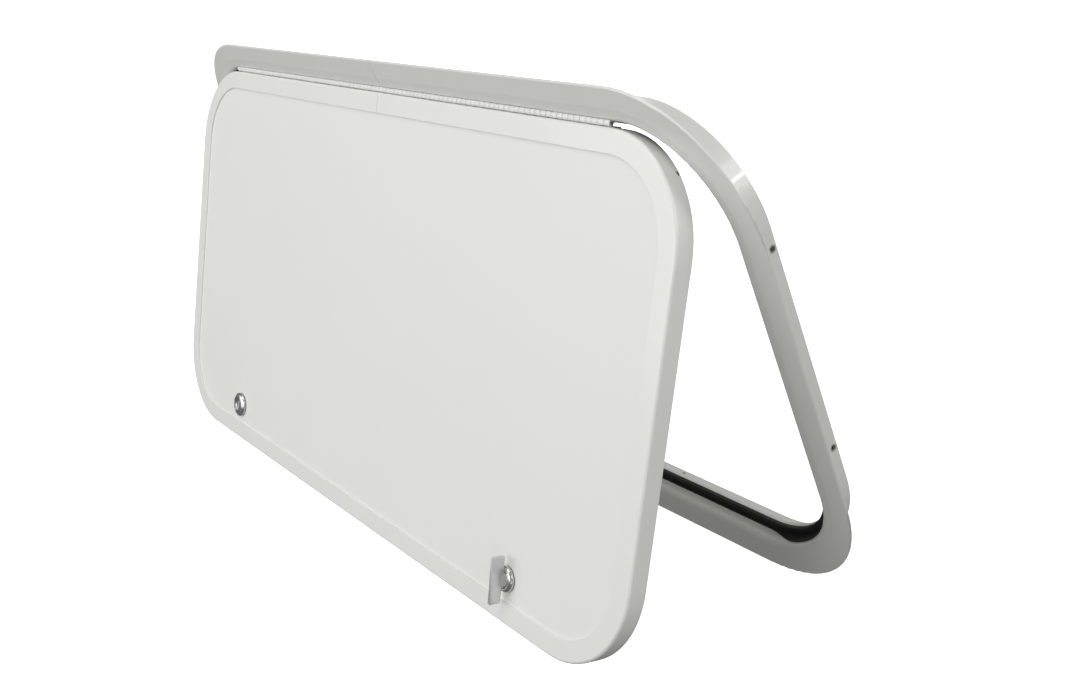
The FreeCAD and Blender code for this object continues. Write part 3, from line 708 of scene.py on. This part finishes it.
SCREW_PROFILE = [
    (0.0, 0.85), (0.35, 0.83), (0.62, 0.72), (0.84, 0.50), (0.97, 0.22), (1.0, 0.0), (0.80, -0.45),
    (0.62, -0.7), (0.0, -0.7),
]
SCREW_RADIUS = 1.7
SCREW_DEPTH = 9.6
DOME_HEIGHT = 0.25                       # against the radius
SCREW_SEGMENTS = 40


def build_cross_screw(name, node, centre, axis):
    """A small domed screw head with a cross recess, on the door."""
    spin = Vector((0, 0, 1)).rotation_difference(axis).to_matrix().to_4x4()
    move = Matrix.Translation(centre) @ spin
    radius = SCREW_RADIUS * MM
    bm = bmesh.new()
    rings = []
    for r, h in SCREW_PROFILE:
        ring = []
        for k in range(1 if r == 0.0 else SCREW_SEGMENTS):
            a = 2 * math.pi * k / SCREW_SEGMENTS
            point = Vector((r * radius * math.cos(a), r * radius * math.sin(a), h * radius * DOME_HEIGHT))
            ring.append(bm.verts.new(move @ point))
        rings.append(ring)
    for a, b in zip(rings, rings[1:]):
        for k in range(SCREW_SEGMENTS):
            j = (k + 1) % SCREW_SEGMENTS
            quad = []
            for v in (a[k % len(a)], a[j % len(a)], b[j % len(b)], b[k % len(b)]):
                if v not in quad:
                    quad.append(v)
            if len(quad) > 2:
                bm.faces.new(quad)
    head = finish_mesh(name, bm, "door", "zinc_steel", (node,), door=True, smooth=40)
    for turn in (20, 110):
        cutter = bmesh.new()
        rot = Matrix.Rotation(math.radians(turn), 4, "Z")
        outline = rounded_outline(-0.62, 0.62, -0.13, 0.13, 0.06, 2)
        low, high = [], []
        for u, v in outline:
            low.append(cutter.verts.new(move @ rot @ (Vector((u * 0.7, v * 0.8, 0.05)) * radius)))
            high.append(cutter.verts.new(move @ rot @ (Vector((u, v, 0.9)) * radius)))
        cutter.faces.new(low)
        cutter.faces.new(list(reversed(high)))
        for k in range(len(outline)):
            j = (k + 1) % len(outline)
            cutter.faces.new((low[k], high[k], high[j], low[j]))
        cut_with(head, raw_object(name + "_slot", cutter))


def build_edging_screws():
    """One screw in the middle of each upper corner's bend."""
    angle = math.radians(45)
    x = HALF_W - DOOR_INSET - DOOR_CORNER + (DOOR_CORNER + 0.02) * math.cos(angle)
    z = HALF_H - DOOR_INSET - DOOR_CORNER + (DOOR_CORNER + 0.02) * math.sin(angle)
    for side, label in ((-1, "left"), (1, "right")):
        centre = at(side * x, SCREW_DEPTH, z)
        axis = Vector((side * math.cos(angle), 0, math.sin(angle)))
        build_cross_screw("edging_screw_" + label, "door_edging_screws", centre, axis)


build_seal()
build_hinge_half("hinge_frame_leaf", "hinge_frame_sheet", 0, "frame", False)
build_hinge_half("hinge_door_leaf", "hinge_door_sheet", 1, "door", True)
build_lock_head("key_lock_head", "key_turn", "key_lock_housing", KEY_HEAD_RADIUS)
build_lock_head("thumb_latch_head", "thumb_turn", "thumb_latch_housing", LATCH_HEAD_RADIUS)
build_key_plug()
build_thumb_turn()
build_edging_screws()

# ------------------------------------------------------------------ stage, light and camera
stage_mat = bpy.data.materials.new("studio_floor")
stage_mat.use_nodes = True
sb = stage_mat.node_tree.nodes["Principled BSDF"]
sb.inputs["Base Color"].default_value = (0.93, 0.93, 0.93, 1)
sb.inputs["Roughness"].default_value = 0.9
sb.inputs["Emission Color"].default_value = (1, 1, 1, 1)
sb.inputs["Emission Strength"].default_value = 1.0
floor_bm = bmesh.new()
FLOOR_Z = frame_lo.z - 0.0005
SWEEP = [(7.0, 0.0), (9.0, 0.2), (10.5, 1.0), (11.5, 2.5), (12.0, 5.0), (12.2, 9.0)]   # (radius, height) in m
FLOOR_SEGMENTS = 96
rings = []
for radius, height in SWEEP:
    ring = []
    for k in range(FLOOR_SEGMENTS):
        a = 2 * math.pi * k / FLOOR_SEGMENTS
        ring.append(floor_bm.verts.new((radius * math.cos(a), radius * math.sin(a), height)))
    rings.append(ring)
floor_bm.faces.new(rings[0])
for a, b in zip(rings, rings[1:]):
    for k in range(FLOOR_SEGMENTS):
        j = (k + 1) % FLOOR_SEGMENTS
        floor_bm.faces.new((a[k], a[j], b[j], b[k]))
floor_mesh = bpy.data.meshes.new("studio_floor")
floor_bm.to_mesh(floor_mesh)
floor_bm.free()
floor = bpy.data.objects.new("studio_floor", floor_mesh)
floor.location = (0, 0, FLOOR_Z)
floor_mesh.materials.append(stage_mat)
bpy.context.scene.collection.objects.link(floor)
floor.visible_diffuse = False
floor.visible_glossy = False
floor.visible_shadow = False

# name, place in m, diameter in m, power in W
LIGHTS = [
    ("key_box", (-1.6, -2.4, 1.8), 2.6, 35.0),
    ("front_box", (0.3, -2.7, 1.9), 2.0, 33.0),
    ("top_box", (0.0, -0.2, 3.0), 1.8, 24.0),
    ("back_side_box", (2.2, 1.9, 1.0), 1.4, 28.0),
    ("side_box", (2.9, 0.3, 1.5), 1.4, 12.0),
    ("low_side_box", (2.4, -1.7, 0.2), 1.2, 5.5),
    ("glint_lamp", (2.366, 1.493, 0.939), 0.10, 2.5),
    ("rear_box", (-2.2, 2.6, 1.2), 2.0, 22.0),
]
AIM = Vector((0.0, -0.06, 0.0))
for name, place, size, watts in LIGHTS:
    data = bpy.data.lights.new(name, "AREA")
    data.shape = "DISK"
    data.size = size
    data.energy = watts
    lamp = bpy.data.objects.new(name, data)
    lamp.location = place
    lamp.rotation_euler = (AIM - Vector(place)).to_track_quat("-Z", "Y").to_euler()
    bpy.context.scene.collection.objects.link(lamp)

world = bpy.data.worlds.new("studio")
world.use_nodes = True
world.node_tree.nodes["Background"].inputs[0].default_value = (1, 1, 1, 1)
world.node_tree.nodes["Background"].inputs[1].default_value = 0.165
bpy.context.scene.world = world

camera_data = bpy.data.cameras.new("camera")
camera = bpy.data.objects.new("camera", camera_data)
bpy.context.scene.collection.objects.link(camera)
right = Vector((0.58806, 0.72948, -0.34935))
forward = Vector((-0.77447, 0.38330, -0.50327))
up = Vector((-0.23322, 0.56652, 0.79036))
pose = Matrix((right, up, -forward)).transposed().to_4x4()
pose.translation = Vector((0.93454, FRONT_Y * MM - 0.43301, 0.50076))
camera.matrix_world = pose
camera_data.sensor_width = 36.0
camera_data.lens = 42.18
camera_data.clip_start = 0.01
bpy.context.scene.camera = camera
bpy.context.scene.view_settings.view_transform = "Standard"
